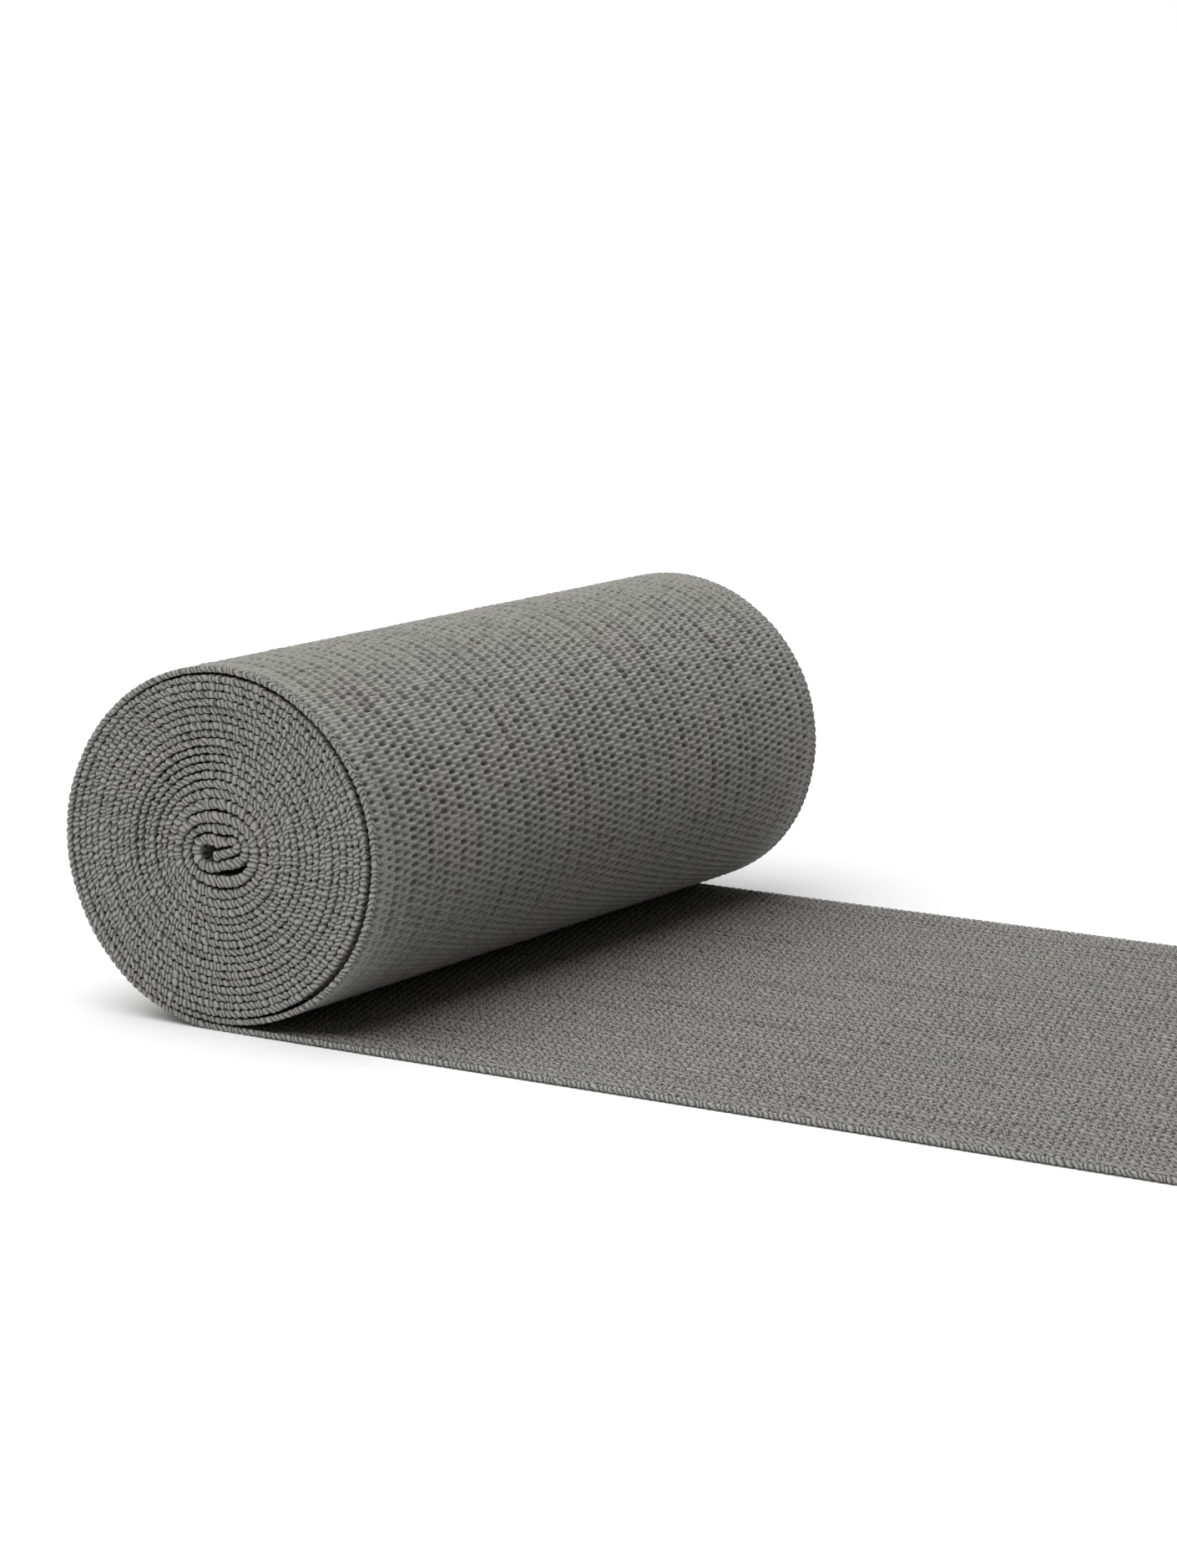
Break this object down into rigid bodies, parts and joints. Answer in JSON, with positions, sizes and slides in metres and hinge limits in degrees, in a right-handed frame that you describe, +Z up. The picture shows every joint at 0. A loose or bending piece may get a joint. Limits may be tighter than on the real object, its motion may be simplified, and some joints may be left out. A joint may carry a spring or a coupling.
{
  "type": "elastic bandage roll",
  "caption": "Wide grey woven elastic band wound on itself without a core, with its free end unrolled flat on the ground.",
  "frame": {"origin": "on the ground at the middle of the whole footprint of the roll and the flat tail", "axes": "+X from the roll towards the cut end of the tail, +Y along the roll's axis across the band's width, +Z up"},
  "size_m": [0.226, 0.15, 0.0608],
  "materials": {
    "band": "matte coarse weave"
  },
  "bodies": {
    "roll": {"core_fold": "band", "wound_turns": "band", "outer_turn": "band"},
    "link_1": {"band_link_1": "band"},
    "link_2": {"band_link_2": "band"},
    "link_3": {"band_link_3": "band"},
    "link_4": {"band_link_4": "band"},
    "link_5": {"band_link_5": "band"},
    "tail": {"tail": "band"}
  },
  "joints": [
    {"name": "bend_1", "type": "hinge", "parent": "roll", "child": "link_1", "pos_m": [-0.07528, 0, 0.00105], "axis": [0, -1, 0], "range_deg": [0, 20]},
    {"name": "bend_2", "type": "hinge", "parent": "link_1", "child": "link_2", "pos_m": [-0.06423, 0, 0.00105], "axis": [0, -1, 0], "range_deg": [0, 20]},
    {"name": "bend_3", "type": "hinge", "parent": "link_2", "child": "link_3", "pos_m": [-0.05399, 0, 0.00105], "axis": [0, -1, 0], "range_deg": [0, 20]},
    {"name": "bend_4", "type": "hinge", "parent": "link_3", "child": "link_4", "pos_m": [-0.04365, 0, 0.00105], "axis": [0, -1, 0], "range_deg": [0, 20]},
    {"name": "bend_5", "type": "hinge", "parent": "link_4", "child": "link_5", "pos_m": [-0.03309, 0, 0.00105], "axis": [0, -1, 0], "range_deg": [0, 20]},
    {"name": "bend_6", "type": "hinge", "parent": "link_5", "child": "tail", "pos_m": [-0.02264, 0, 0.00105], "axis": [0, -1, 0], "range_deg": [0, 20]}
  ]
}
